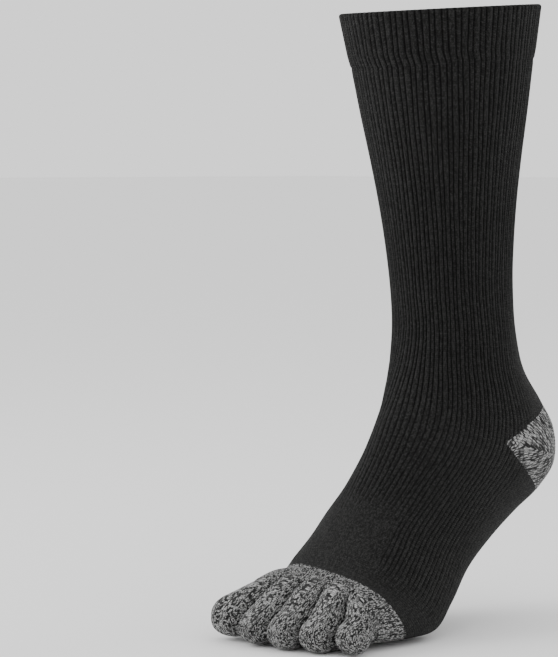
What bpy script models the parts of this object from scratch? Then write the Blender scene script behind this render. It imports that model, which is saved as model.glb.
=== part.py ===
"""Toe sock for a left foot, in the form that it has when worn on a raised heel.

Metres, +Z up, toes towards -Y and the outer side of the foot towards +X. The origin is the centre of the rim.
One loft carries the whole sock. Its place along the leg and foot runs from 0 at the rim to 1 at the toe roots,
and its turn round the leg is a share of the girth, 0 and 1 at the back and the sole, and 0.5 at the shin.
"""

import bpy
import numpy as np

# Overall sizes
SOCK_HEIGHT = 0.3373  # rim's centre down to the lowest point of the sole
FOOT_REACH = 0.216  # level distance from the heel's back to the big toe's tip
LEG_LEAN = np.radians(4.0)  # the leg leans towards the toes

# Widths run across the foot, depths from front to back
CUFF_WIDTH = 0.107
CUFF_DEPTH = 0.114
ANKLE_WIDTH = 0.063
ANKLE_DEPTH = 0.074
HEEL_WIDTH = 0.064
BALL_WIDTH = 0.092

# Cloth
WALL = 0.0020
WELT_WALL = 0.0030  # the welt is two layers of the leg's knit
WELT_PROUD = 0.0006  # how far the welt stands out from the leg
CUFF_HEIGHT = 0.0295
RIB_REPEATS = 44  # each repeat is one wide rib and one narrow rib
RIB_DEPTH = 0.0008
RIB_END_PLACE = 0.598  # where the ribs of the leg have faded out
RIB_FADE = 0.10  # length of the fade, as a share of the whole length
GAP = 0.0005  # clearance between pieces that meet

# Heel pocket: its points lie on both sides, its edges rise and fall from them towards the back
HEEL_POINT_PLACE = 0.618
HEEL_POINT_TURN = 0.258  # share of the girth from the back to a point
HEEL_TOP_REACH = 0.0276
HEEL_SOLE_REACH = 0.0245
HEEL_BLUNT = 0.98  # share of the way to a point where the pocket's end is cut off

HEEL_TURNS = (HEEL_BLUNT * HEEL_POINT_TURN, HEEL_POINT_TURN)

# Toe band: where the grey knit starts, earlier on the inner side of the foot
BAND_PLACE = 0.958
BAND_SLANT = 0.028
BAND_SLANT_TURN = 0.40

# Toes
TOE_WALL = 0.0018
TOE_HEIGHT = 0.0196
BIG_TOE_WIDTH = 0.0234
BIG_TOE_HEIGHT = 0.0220
SMALL_TOE_WIDTH = 0.0182
CREASE_DEPTH = 0.0030  # the grooves between the toes at the end of the band
CREASE_WIDTH = 0.0075
CREASE_GROWTH = 1.5  # power by which the grooves grow along the band
TOE_SIDES = 16
TOE_ROOT_SQUARE = 5.0  # roundness power of a toe's root, which fills its cell of the band's end
TOE_TIP_SQUARE = 2.3
TOE_DOME = 1.15  # length of the domed end as a share of the toe's half height

# Sections of the leg. level is a share of SOCK_HEIGHT, fullness runs from the ankle's girth (0) to the cuff's (1).
LEG_COLUMNS = ("level", "fullness")
LEG_ROWS = (
    (0.000, 1.000),
    (0.047, 0.875),
    (0.092, 0.755),
    (0.166, 0.570),
    (0.240, 0.370),
    (0.311, 0.200),
    (0.385, 0.070),
    (0.451, 0.000),
)

# Sections of the foot, each a slanting plane from its front or top point to its back or sole point.
# A reach is a share of FOOT_REACH and a drop is a share of SOCK_HEIGHT. spread runs from HEEL_WIDTH (0) to
# BALL_WIDTH (1), widest is the height of the greatest width, the squares are the roundness powers (2 is an
# ellipse), and drift is the sideways shift of the top as a share of BALL_WIDTH.
FOOT_COLUMNS = (
    "front_reach", "front_drop", "back_reach", "back_drop", "spread", "widest", "back_square", "front_square", "drift"
)
FOOT_ROWS = (
    (-0.113, 0.522, 0.231, 0.534, 0.03, 0.50, 2.0, 2.0, 0.00),
    (-0.127, 0.569, 0.266, 0.596, 0.03, 0.50, 2.1, 2.0, 0.00),
    (-0.152, 0.608, 0.333, 0.650, 0.00, 0.50, 2.4, 2.0, 0.00),
    (-0.177, 0.641, 0.382, 0.700, -0.03, 0.48, 2.7, 2.0, 0.00),
    (-0.200, 0.667, 0.384, 0.754, 0.00, 0.46, 2.7, 2.0, 0.00),
    (-0.225, 0.697, 0.315, 0.795, 0.07, 0.44, 2.7, 2.0, 0.00),
    (-0.256, 0.730, 0.208, 0.829, 0.14, 0.42, 2.7, 2.0, 0.00),
    (-0.291, 0.766, 0.093, 0.868, 0.29, 0.40, 2.7, 2.0, -0.01),
    (-0.321, 0.800, -0.019, 0.912, 0.50, 0.38, 2.8, 2.1, -0.03),
    (-0.350, 0.834, -0.113, 0.964, 0.79, 0.36, 3.0, 2.1, -0.05),
    (-0.378, 0.864, -0.194, 0.998, 1.00, 0.36, 3.3, 2.2, -0.065),
    (-0.402, 0.887, -0.264, 1.000, 1.02, 0.37, 3.4, 2.3, -0.065),
    (-0.428, 0.900, -0.333, 1.000, 1.01, 0.40, 3.2, 2.4, -0.050),
    (-0.468, 0.911, -0.417, 1.000, 0.95, 0.42, 2.8, 2.4, -0.030),
)

# Toes from the inner to the outer side. root_left, root_right, tip_across and tip_reach are shares of BALL_WIDTH
# and FOOT_REACH, width and height are shares of the toe sizes above, and lift is the height of the toe's underside
# over the floor as a share of TOE_HEIGHT.
TOE_COLUMNS = ("name", "root_left", "root_right", "tip_across", "tip_reach", "width", "height", "lift")
TOE_ROWS = (
    ("big_toe", -0.505, -0.240, -0.397, 0.620, 1.00, 1.00, 0.08),
    ("second_toe", -0.240, -0.050, -0.166, 0.625, 1.00, 1.00, 0.03),
    ("third_toe", -0.050, 0.135, 0.036, 0.613, 1.00, 1.00, 0.00),
    ("fourth_toe", 0.135, 0.309, 0.236, 0.589, 0.98, 1.00, 0.00),
    ("little_toe", 0.309, 0.479, 0.432, 0.550, 0.95, 0.98, 0.03),
)

# One repeat of the rib, from the start of its wide rib: where each corner lies as a share of the repeat, and how
# deep it lies as a share of RIB_DEPTH.
RIB_COLUMNS = ("along", "depth")
RIB_ROWS = (
    (0.00, 0.0),
    (0.44, 0.0),
    (0.57, 1.0),
    (0.72, 0.2),
    (0.87, 1.0),
)

# The welt's section. share runs along the welt from the rim to the seam, and inset is the depth under the outer
# side as a share of WELT_WALL.
WELT_COLUMNS = ("share", "inset")
WELT_OUTER_ROWS = (
    (0.025, 0.275),
    (0.090, 0.0),
    (0.500, 0.0),
    (1.000, 0.0),
)
WELT_INNER_ROWS = (
    (0.000, 0.5),
    (0.060, 0.9),
    (1.000, 1.0),
)

# Finish of each slot: colour and roughness
FINISHES = {
    "black_rib_knit": ((0.013, 0.013, 0.013, 1.0), 0.85),
    "black_fine_knit": ((0.014, 0.014, 0.014, 1.0), 0.85),
    "grey_marl_knit": ((0.17, 0.17, 0.17, 1.0), 0.90),
}

# Rings of each piece, as shares of its length. A ring close to each end keeps the end's wall square to the surface.
LEG_RINGS = (0.0, 0.30, 0.56, 0.77, 0.92, 1.0)
HEEL_RINGS = (0.0, 0.04, 0.20, 0.40, 0.60, 0.80, 0.96, 1.0)
FOOT_RINGS = (0.0, 0.015, 0.12, 0.24, 0.37, 0.51, 0.65, 0.77, 0.88, 0.985, 1.0)
BAND_RINGS = (0.0, 0.08, 0.36, 0.66, 0.92, 1.0)
TOE_RINGS = (0.0, 0.06, 0.36, 0.68, 1.0)
TOE_DOME_ANGLES = (26, 52, 76)

# How finely the loft is worked out before the pieces are read from it
TABLE_PLACES = 361
TABLE_TURNS = 360
RING_STEPS = 720
SHARP_ANGLE = 50  # edges steeper than this are shaded sharp
SIDE_LIMIT = 0.995  # how near the band's widest point a toe's root may reach


def column(rows, columns, name):
    """One named column of a table as an array."""
    return np.array([row[columns.index(name)] for row in rows], float)


def clear_scene():
    for old in list(bpy.data.objects):
        bpy.data.objects.remove(old, do_unlink=True)


def section_rows():
    """All sections as arrays: front y, front z, back y, back z, half width, widest, both squares and drift."""
    level = SOCK_HEIGHT * column(LEG_ROWS, LEG_COLUMNS, "level")
    fullness = column(LEG_ROWS, LEG_COLUMNS, "fullness")
    half_depth = (ANKLE_DEPTH + (CUFF_DEPTH - ANKLE_DEPTH) * fullness) / 2
    half_width = (ANKLE_WIDTH + (CUFF_WIDTH - ANKLE_WIDTH) * fullness) / 2
    across, down = np.cos(LEG_LEAN), np.sin(LEG_LEAN)
    centre_y, centre_z = level * down, -level * across
    flat = np.zeros_like(level)
    leg = np.stack([
        centre_y - half_depth * across, centre_z - half_depth * down,
        centre_y + half_depth * across, centre_z + half_depth * down,
        half_width, flat + 0.5, flat + 2.0, flat + 2.0, flat,
    ], axis=-1)
    foot = np.stack([column(FOOT_ROWS, FOOT_COLUMNS, name) for name in FOOT_COLUMNS], axis=-1)
    foot[:, [0, 2]] *= FOOT_REACH
    foot[:, [1, 3]] *= -SOCK_HEIGHT
    foot[:, 4] = (HEEL_WIDTH + (BALL_WIDTH - HEEL_WIDTH) * foot[:, 4]) / 2
    foot[:, 8] *= BALL_WIDTH
    return np.vstack([leg, foot])


def places_of(rows):
    """Each section's place: the length of the line through the section centres up to it, and the whole length."""
    centres = (rows[:, 0:2] + rows[:, 2:4]) / 2
    run = np.concatenate([[0.0], np.cumsum(np.linalg.norm(np.diff(centres, axis=0), axis=1))])
    return run / run[-1], run[-1]


def smooth_rows(rows, knots, place):
    """The sections at any place, by cubic Hermite pieces whose slopes are the central differences of the rows."""
    slopes = np.gradient(rows, knots, axis=0)
    piece = np.clip(np.searchsorted(knots, place, side="right") - 1, 0, len(knots) - 2)
    length = (knots[piece + 1] - knots[piece])[:, None]
    u = (place[:, None] - knots[piece][:, None]) / length
    start, end = rows[piece], rows[piece + 1]
    rise, fall = length * slopes[piece], length * slopes[piece + 1]
    return (
        (2 * u**3 - 3 * u**2 + 1) * start
        + (u**3 - 2 * u**2 + u) * rise
        + (3 * u**2 - 2 * u**3) * end
        + (u**3 - u**2) * fall
    )


def rounded(value, power):
    """Cosine or sine pushed towards a square: its sign times its size to the power 2 / power."""
    return np.sign(value) * np.abs(value) ** (2 / power)


def ring_points(sections, angle):
    """Points of each section's outline at the given angles, 0 at the back or sole and half a turn at the front."""
    front_y, front_z, back_y, back_z, half_width, widest, back_square, front_square, drift = sections.T[..., None]
    cosine, sine = np.cos(angle), np.sin(angle)
    power = np.where(cosine > 0, back_square, front_square)
    along, aside = rounded(cosine, power), rounded(sine, power)
    height = np.where(cosine > 0, widest * (1 - along), widest - (1 - widest) * along)
    x = drift * height + half_width * aside
    y = back_y + (front_y - back_y) * height
    z = back_z + (front_z - back_z) * height
    return np.stack([x, y, z], axis=-1)


class Loft:
    """The sock's outer surface, its outward normal and its stretch along the leg, read from one fine table."""

    def __init__(self):
        rows = section_rows()
        knots, self.length = places_of(rows)
        self.last_section = rows[-1]
        sections = smooth_rows(rows, knots, np.linspace(0, 1, TABLE_PLACES))
        rings = ring_points(sections, np.linspace(0, 2 * np.pi, RING_STEPS + 1))
        steps = np.linalg.norm(np.diff(rings, axis=1), axis=2)
        run = np.concatenate([np.zeros((TABLE_PLACES, 1)), np.cumsum(steps, axis=1)], axis=1)
        run /= run[:, -1:]
        turns = np.linspace(0, 1, TABLE_TURNS + 1)
        self.points = np.stack([
            np.stack([np.interp(turns, run[i], rings[i, :, k]) for k in range(3)], axis=-1)
            for i in range(TABLE_PLACES)
        ])
        along = np.gradient(self.points, 1 / (TABLE_PLACES - 1), axis=0)
        ends = self.points[:, [-2]], self.points[:, [1]]
        around = np.gradient(np.concatenate([ends[0], self.points, ends[1]], axis=1), axis=1)[:, 1:-1]
        normals = np.cross(around, along)
        self.normals = normals / np.linalg.norm(normals, axis=2, keepdims=True)
        self.stretch = np.linalg.norm(along, axis=2, keepdims=True)

    def read(self, table, place, turn):
        """The table's value at places and turns of any shape, mixed from its four nearest entries."""
        row = np.clip(place, 0, 1) * (TABLE_PLACES - 1)
        col = np.mod(turn, 1.0) * TABLE_TURNS
        i = np.minimum(row.astype(int), TABLE_PLACES - 2)
        j = np.minimum(col.astype(int), TABLE_TURNS - 1)
        u, v = (row - i)[..., None], (col - j)[..., None]
        near = table[i, j] * (1 - v) + table[i, j + 1] * v
        far = table[i + 1, j] * (1 - v) + table[i + 1, j + 1] * v
        return near * (1 - u) + far * u

    def at(self, place, turn, inset=0.0):
        """Points on the sock, moved inwards by inset."""
        place, turn, inset = np.broadcast_arrays(place, turn, inset)
        return self.read(self.points, place, turn) - self.read(self.normals, place, turn) * inset[..., None]

    def trimmed(self, place, turn, distance):
        """The place that lies this distance further along the surface."""
        place, turn = np.broadcast_arrays(place, turn)
        return place + distance / self.read(self.stretch, place, turn)[..., 0]


def heel_edge(loft, turn, reach):
    """Place of the heel pocket's edge: a parabola with its full reach at the back and none at the side points."""
    from_back = np.minimum(turn, 1 - turn) / HEEL_POINT_TURN
    return HEEL_POINT_PLACE + reach / loft.length * np.clip(1 - from_back**2, 0, 1)


def band_start(turn):
    """Place where the toe band starts, earlier over the inner side by a half wave."""
    slant = np.clip(np.sin(2 * np.pi * (turn - BAND_SLANT_TURN)), 0, 1)
    return BAND_PLACE - BAND_SLANT * slant


def band_crease(place, points):
    """How deep the grooves between the toes are in the band: a bump at each toe border, growing to the band's end."""
    growth = np.clip((place - BAND_PLACE) / (1 - BAND_PLACE), 0, 1) ** CREASE_GROWTH
    borders = [row[TOE_COLUMNS.index("root_right")] * BALL_WIDTH for row in TOE_ROWS[:-1]]
    bump = sum(np.exp(-((points[..., 0] - border) / (CREASE_WIDTH / 2)) ** 2) for border in borders)
    return CREASE_DEPTH * growth * bump


def wale_turns(extra):
    """Turns at the start of every rib repeat, with extra turns added on both sides of the back."""
    whole = np.arange(RIB_REPEATS) / RIB_REPEATS
    more = np.concatenate([extra, 1 - np.asarray(extra)])
    return np.unique(np.round(np.concatenate([whole, more]), 6))


def grid_faces(rows, columns, closed):
    """Quads of a grid of rows and columns, joined round when it is closed."""
    last = columns if closed else columns - 1
    i, j = np.meshgrid(np.arange(rows - 1), np.arange(last), indexing="ij")
    right = (j + 1) % columns
    quads = np.stack([i * columns + j, i * columns + right, (i + 1) * columns + right, (i + 1) * columns + j], axis=-1)
    return quads.reshape(-1, 4)


def rim_faces(outer, inner, repeats, corners):
    """Triangles between a ribbed ring and a plain ring with one point for each repeat of the rib."""
    k = np.arange(repeats)
    following = (k + 1) % repeats
    split = corners // 2
    faces = []
    for step in range(corners):
        this = outer + k * corners + step
        ahead = outer + (k * corners + step + 1) % (repeats * corners)
        base = inner + (k if step < split else following)
        faces.append(np.stack([base, this, ahead], axis=-1))
    faces.append(np.stack([inner + k, outer + k * corners + split, inner + following], axis=-1))
    return np.concatenate(faces)


def add_object(name, vertices, faces, slot, collection):
    """A mesh object with its slot's finish, smooth except along sharp edges."""
    mesh = bpy.data.meshes.new(name)
    mesh.from_pydata(vertices.tolist(), [], [list(map(int, face)) for face in faces])
    mesh.validate()
    mesh.shade_smooth()
    mesh.set_sharp_from_angle(angle=np.radians(SHARP_ANGLE))
    material = bpy.data.materials.new(name + "_" + slot)
    material.use_nodes = True
    shader = material.node_tree.nodes["Principled BSDF"]
    colour, roughness = FINISHES[slot]
    shader.inputs["Base Color"].default_value = colour
    shader.inputs["Roughness"].default_value = roughness
    shader.inputs["Metallic"].default_value = 0.0
    material.diffuse_color = colour
    mesh.materials.append(material)
    made = bpy.data.objects.new(name, mesh)
    collection.objects.link(made)
    return made


def add_wall(made, thickness):
    """Gives an open surface its cloth thickness, inwards."""
    solidify = made.modifiers.new("Wall", "SOLIDIFY")
    solidify.thickness = thickness
    solidify.offset = -1.0
    solidify.use_even_offset = False
    solidify.use_rim = True


def ribbed_tube(name, loft, outer_places, inner_places, outer_insets, inner_insets, fade, slot, collection):
    """A tube whose outer side is ribbed and whose inner side is plain, a loft between unlike sections.

    Places are functions of the turn, one for each ring from the top down. The outer rings have the rib's corners in
    every repeat, the inner rings one point in every repeat, and triangles close the two ends.
    """
    along = column(RIB_ROWS, RIB_COLUMNS, "along")
    depth = np.tile(column(RIB_ROWS, RIB_COLUMNS, "depth"), RIB_REPEATS) * RIB_DEPTH
    outer_turn = ((np.arange(RIB_REPEATS)[:, None] + along) / RIB_REPEATS).ravel()
    inner_turn = np.arange(RIB_REPEATS) / RIB_REPEATS
    outer = []
    for place, inset in zip(outer_places, outer_insets):
        here = place(outer_turn)
        outer.append(loft.at(here, outer_turn, inset + depth * fade(here)))
    inner = []
    for place, inset in zip(inner_places, inner_insets):
        inner.append(loft.at(place(inner_turn), inner_turn, inset))
    corners = len(RIB_ROWS)
    outer_count = RIB_REPEATS * corners
    first_inner = len(outer) * outer_count
    last_inner = first_inner + (len(inner) - 1) * RIB_REPEATS
    outside = grid_faces(len(outer), outer_count, True)
    inside = first_inner + grid_faces(len(inner), RIB_REPEATS, True)
    top = rim_faces(0, first_inner, RIB_REPEATS, corners)
    bottom = rim_faces((len(outer) - 1) * outer_count, last_inner, RIB_REPEATS, corners)
    faces = list(outside) + list(inside[:, ::-1]) + list(top[:, ::-1]) + list(bottom)
    return add_object(name, np.concatenate(outer + inner), faces, slot, collection)


def make_cuff(loft, collection):
    """The welt: a ribbed collar, proud of the leg, whose rim is rounded over in two steps."""
    seam = CUFF_HEIGHT / loft.length

    def at_share(share):
        return lambda turn: loft.trimmed(seam * share + 0 * turn, turn, -GAP / 2 if share == 1 else 0.0)

    outer = column(WELT_OUTER_ROWS, WELT_COLUMNS, "share")
    inner = column(WELT_INNER_ROWS, WELT_COLUMNS, "share")
    outer_insets = column(WELT_OUTER_ROWS, WELT_COLUMNS, "inset") * WELT_WALL - WELT_PROUD
    inner_insets = column(WELT_INNER_ROWS, WELT_COLUMNS, "inset") * WELT_WALL - WELT_PROUD
    return ribbed_tube(
        "cuff", loft, list(map(at_share, outer)), list(map(at_share, inner)), outer_insets, inner_insets,
        np.ones_like, "black_rib_knit", collection,
    )


def make_leg(loft, collection):
    """The ribbed leg, from the seam under the welt down to the ankle and round the heel's upper edge."""
    seam = CUFF_HEIGHT / loft.length

    def at_share(share):
        def place(turn):
            top = loft.trimmed(seam + 0 * turn, turn, GAP / 2)
            end = loft.trimmed(heel_edge(loft, turn, -HEEL_TOP_REACH), turn, -GAP / 2)
            return top + (end - top) * share
        return place

    places = [at_share(share) for share in LEG_RINGS]
    return ribbed_tube(
        "leg", loft, places, places, [0.0] * len(places), [WALL] * len(places),
        lambda place: np.clip((RIB_END_PLACE - place) / RIB_FADE, 0.0, 1.0), "black_rib_knit", collection,
    )


def make_heel(loft, collection):
    """The heel pocket: a lens between its two edges, blunt at both side points."""
    blunt = HEEL_BLUNT * HEEL_POINT_TURN
    turns = wale_turns([blunt])
    across = np.sort(np.concatenate([turns[turns <= blunt + 1e-5], turns[turns >= 1 - blunt - 1e-5] - 1]))
    turn = np.mod(across, 1.0)[None, :]
    share = np.array(HEEL_RINGS)[:, None]
    top = loft.trimmed(heel_edge(loft, turn, -HEEL_TOP_REACH), turn, GAP / 2)
    end = loft.trimmed(heel_edge(loft, turn, HEEL_SOLE_REACH), turn, -GAP / 2)
    points = loft.at(top + (end - top) * share, turn)
    faces = grid_faces(len(share), len(across), False)
    heel = add_object("heel", points.reshape(-1, 3), faces, "grey_marl_knit", collection)
    add_wall(heel, WALL)
    return heel


def make_foot(loft, collection):
    """Instep, sides and sole, from the ankle and the heel's lower edge to the toe band."""
    turn = wale_turns(HEEL_TURNS)[None, :]
    share = np.array(FOOT_RINGS)[:, None]
    top = loft.trimmed(heel_edge(loft, turn, HEEL_SOLE_REACH), turn, GAP / 2)
    end = loft.trimmed(band_start(turn), turn, -GAP / 2)
    points = loft.at(top + (end - top) * share, turn)
    foot = add_object(
        "foot", points.reshape(-1, 3), grid_faces(len(share), turn.size, True), "black_fine_knit", collection
    )
    add_wall(foot, WALL)
    return foot


def make_toe_band(loft, collection):
    """The grey ring in front of the foot, with a groove starting at each border between two toes."""
    turn = wale_turns(HEEL_TURNS)[None, :]
    share = np.array(BAND_RINGS)[:, None]
    top = loft.trimmed(band_start(turn), turn, GAP / 2)
    end = loft.trimmed(np.ones_like(turn), turn, -GAP / 2)
    place = top + (end - top) * share
    points = loft.at(place, turn)
    points = loft.at(place, turn, band_crease(place, points))
    band = add_object(
        "toe_band", points.reshape(-1, 3), grid_faces(len(share), turn.size, True), "grey_marl_knit", collection
    )
    add_wall(band, WALL)
    return band


def band_height(loft, x):
    """Heights over and under the middle of the band's last ring at x, as shares from its sole point (0) to its top."""
    _, _, _, _, half_width, widest, back_square, front_square, drift = loft.last_section
    aside = np.clip(np.abs(x - drift / 2) / half_width, 0, SIDE_LIMIT)
    lower = widest * (1 - (1 - aside**back_square) ** (1 / back_square))
    upper = widest + (1 - widest) * (1 - aside**front_square) ** (1 / front_square)
    return lower, upper


def toe_surface(loft, row):
    """A toe's outer surface as rings from its root to its tip.

    The root ring fills the toe's cell of the band's last ring. The tip ring is a rounded oval on the floor. Between
    them the rings go evenly forward while their shape changes by a smooth step, and over the last stretch they
    shrink to a dome.
    """
    _, left, right, tip_across, tip_reach, width, height, lift = row
    front_y, front_z, back_y, back_z = loft.last_section[:4]
    big = row[0] == "big_toe"
    half_width = width * (BIG_TOE_WIDTH if big else SMALL_TOE_WIDTH) / 2
    half_height = height * (BIG_TOE_HEIGHT if big else TOE_HEIGHT) / 2
    angle = (np.arange(TOE_SIDES) + 0.5) * 2 * np.pi / TOE_SIDES
    x = (left + right) / 2 * BALL_WIDTH
    x = x + ((right - left) / 2 * BALL_WIDTH - GAP) * rounded(np.sin(angle), TOE_ROOT_SQUARE)
    lower, upper = band_height(loft, x)
    level = lower + (upper - lower) * (1 - rounded(np.cos(angle), TOE_ROOT_SQUARE)) / 2
    root = np.stack([x, back_y + (front_y - back_y) * level - GAP, back_z + (front_z - back_z) * level], axis=-1)
    tip_y = -tip_reach * FOOT_REACH
    centre = np.array([tip_across * BALL_WIDTH, tip_y, -SOCK_HEIGHT + lift * TOE_HEIGHT + half_height])
    dome = half_height * TOE_DOME
    oval = np.stack([
        centre[0] + half_width * rounded(np.sin(angle), TOE_TIP_SQUARE),
        np.full_like(angle, tip_y + dome),
        centre[2] - half_height * rounded(np.cos(angle), TOE_TIP_SQUARE),
    ], axis=-1)
    along = np.array(TOE_RINGS)[:, None, None]
    shape = along**2 * (3 - 2 * along)
    tube = root * (1 - shape) + oval * shape
    tube[..., 1] = (root * (1 - along) + oval * along)[..., 1]
    turn = np.radians(TOE_DOME_ANGLES)[:, None, None]
    middle = centre + np.array([0, dome, 0])
    cap = middle + (oval - middle) * np.cos(turn) + np.array([0, -dome, 0]) * np.sin(turn)
    return np.concatenate([tube, cap]), middle + np.array([0, -dome, 0])


def make_toe(loft, row, collection):
    """One toe tube: rings closed by a fan at the tip, open at the root."""
    rings, pole = toe_surface(loft, row)
    count, around = rings.shape[:2]
    vertices = np.concatenate([rings.reshape(-1, 3), pole[None]])
    last = (count - 1) * around
    step = np.arange(around)
    fan = np.stack([last + step, last + (step + 1) % around, np.full(around, count * around)], axis=-1)
    faces = list(grid_faces(count, around, True)) + list(fan)
    toe = add_object(row[0], vertices, faces, "grey_marl_knit", collection)
    add_wall(toe, TOE_WALL)
    return toe


def main():
    clear_scene()
    collection = bpy.data.collections.new("toe_sock")
    bpy.context.scene.collection.children.link(collection)
    loft = Loft()
    make_cuff(loft, collection)
    make_leg(loft, collection)
    make_heel(loft, collection)
    make_foot(loft, collection)
    make_toe_band(loft, collection)
    for row in TOE_ROWS:
        make_toe(loft, row, collection)


main()
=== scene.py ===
"""Looks of a left-foot toe sock: ribbed black knit with light grey marl heel and toes, in its worn form.

Metres, +Z up, toes towards -Y and the outer side of the foot towards +X. The origin is the centre of the rim.
One loft carries every piece. Its place runs from 0 at the rim to 1 at the toe roots, and its turn is a share of
the girth, 0 and 1 at the back and the sole, 0.5 at the shin, growing over the outer side.
"""

import bpy
import numpy as np
from mathutils import Matrix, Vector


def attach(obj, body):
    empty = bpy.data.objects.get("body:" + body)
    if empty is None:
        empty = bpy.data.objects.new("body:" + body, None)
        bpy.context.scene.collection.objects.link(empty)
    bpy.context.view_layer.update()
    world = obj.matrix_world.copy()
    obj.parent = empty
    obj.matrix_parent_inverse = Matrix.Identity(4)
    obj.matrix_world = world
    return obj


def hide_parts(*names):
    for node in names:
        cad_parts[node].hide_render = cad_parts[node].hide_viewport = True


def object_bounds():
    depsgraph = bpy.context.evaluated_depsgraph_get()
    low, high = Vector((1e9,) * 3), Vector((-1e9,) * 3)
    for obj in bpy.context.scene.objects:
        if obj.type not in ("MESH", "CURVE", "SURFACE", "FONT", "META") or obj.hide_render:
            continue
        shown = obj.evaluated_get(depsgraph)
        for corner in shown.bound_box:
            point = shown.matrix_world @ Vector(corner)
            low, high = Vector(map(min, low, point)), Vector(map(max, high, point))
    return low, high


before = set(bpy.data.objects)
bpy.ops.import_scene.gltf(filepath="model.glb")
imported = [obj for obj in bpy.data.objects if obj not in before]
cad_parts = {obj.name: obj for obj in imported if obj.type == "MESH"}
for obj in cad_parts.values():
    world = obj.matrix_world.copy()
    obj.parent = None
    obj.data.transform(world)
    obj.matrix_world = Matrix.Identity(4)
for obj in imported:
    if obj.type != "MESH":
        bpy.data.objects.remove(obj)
cad_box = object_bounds()

# Overall sizes, as in the part
SOCK_HEIGHT = 0.3373
FOOT_REACH = 0.216
LEG_LEAN = np.radians(4.0)
CUFF_WIDTH = 0.107
CUFF_DEPTH = 0.114
ANKLE_WIDTH = 0.063
ANKLE_DEPTH = 0.074
HEEL_WIDTH = 0.064
BALL_WIDTH = 0.092
WALL = 0.0020
WELT_WALL = 0.0030
WELT_PROUD = 0.0006
CUFF_HEIGHT = 0.0295
RIB_REPEATS = 48
HEEL_POINT_PLACE = 0.618
HEEL_POINT_TURN = 0.258
HEEL_TOP_REACH = 0.0276
HEEL_SOLE_REACH = 0.0245
HEEL_BLUNT = 0.985
HEEL_LEAN = 0.95  # how far the heel's wales draw together towards the mitre
BAND_PLACE = 0.958
BAND_SLANT = 0.028
BAND_SLANT_TURN = 0.40
TOE_HEIGHT = 0.0196
BIG_TOE_WIDTH = 0.0234
BIG_TOE_HEIGHT = 0.0220
SMALL_TOE_WIDTH = 0.0182
TOE_DOME = 1.15
TOE_ROOT_SQUARE = 5.0  # roundness power of a toe's root
TOE_TIP_SQUARE = 2.5  # roundness power of a toe's tip
TOE_PLUMP = 0.04  # widening of a toe halfway along
TOE_HANG = 0.35  # how much of the fall of a toe's top comes late
TOE_STEEPEST = 0.45  # steepest fall of a toe's top that runs on into its tip

# Sections of the leg. level is a share of SOCK_HEIGHT, fullness runs from the ankle's girth (0) to the cuff's (1).
LEG_COLUMNS = ("level", "fullness")
LEG_ROWS = (
    (0.000, 1.000),
    (0.047, 0.875),
    (0.092, 0.755),
    (0.166, 0.570),
    (0.240, 0.370),
    (0.311, 0.200),
    (0.385, 0.070),
    (0.451, 0.000),
)

# Sections of the foot, each a slanting plane from its front or top point to its back or sole point. A reach is a
# share of FOOT_REACH and a drop is a share of SOCK_HEIGHT. spread runs from HEEL_WIDTH (0) to BALL_WIDTH (1),
# widest is the height of the greatest width, the squares are the roundness powers (2 is an ellipse), and drift is
# the sideways shift of the top as a share of BALL_WIDTH.
FOOT_COLUMNS = (
    "front_reach", "front_drop", "back_reach", "back_drop", "spread", "widest", "back_square", "front_square", "drift"
)
FOOT_ROWS = (
    (-0.113, 0.522, 0.231, 0.534, 0.03, 0.50, 2.0, 2.0, 0.00),
    (-0.127, 0.569, 0.266, 0.596, 0.03, 0.50, 2.1, 2.0, 0.00),
    (-0.152, 0.608, 0.333, 0.650, 0.00, 0.50, 2.4, 2.0, 0.00),
    (-0.177, 0.641, 0.382, 0.700, -0.03, 0.48, 2.7, 2.0, 0.00),
    (-0.200, 0.667, 0.384, 0.754, 0.00, 0.46, 2.7, 2.0, 0.00),
    (-0.225, 0.697, 0.315, 0.795, 0.07, 0.44, 2.7, 2.0, 0.00),
    (-0.256, 0.730, 0.208, 0.829, 0.14, 0.42, 2.7, 2.0, 0.00),
    (-0.291, 0.766, 0.093, 0.868, 0.29, 0.40, 2.7, 2.0, -0.01),
    (-0.321, 0.800, -0.019, 0.912, 0.50, 0.38, 2.8, 2.1, -0.03),
    (-0.350, 0.834, -0.113, 0.964, 0.79, 0.36, 3.0, 2.1, -0.05),
    (-0.378, 0.864, -0.194, 0.998, 1.00, 0.36, 3.3, 2.2, -0.065),
    (-0.402, 0.887, -0.264, 1.000, 1.02, 0.37, 3.4, 2.3, -0.065),
    (-0.428, 0.892, -0.333, 1.000, 1.02, 0.40, 3.2, 2.8, -0.062),
    (-0.472, 0.900, -0.417, 1.000, 0.96, 0.44, 2.8, 2.9, -0.048),
)

# Toes from the inner to the outer side: shares of BALL_WIDTH, FOOT_REACH and the toe sizes, as in the part
TOE_COLUMNS = ("name", "root_left", "root_right", "tip_across", "tip_reach", "width", "height", "lift")
TOE_ROWS = (
    ("big_toe", -0.505, -0.240, -0.397, 0.620, 1.00, 1.00, 0.08),
    ("second_toe", -0.240, -0.050, -0.166, 0.625, 1.00, 1.00, 0.03),
    ("third_toe", -0.050, 0.135, 0.036, 0.613, 1.00, 1.00, 0.00),
    ("fourth_toe", 0.135, 0.309, 0.236, 0.589, 0.98, 1.00, 0.00),
    ("little_toe", 0.309, 0.479, 0.432, 0.550, 0.95, 0.98, 0.03),
)

# Knit: wales run along the sock, courses run round it
COURSE = 0.0013
MARL_WALES = 208
MARL_COURSE = 0.0014
TOE_WALES = 52
STITCH_SLANT = 0.55  # how far a stitch's two legs lean, as a share of a course
STITCH_HIGH = 0.00024  # relief of the thick marl stitches

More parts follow.
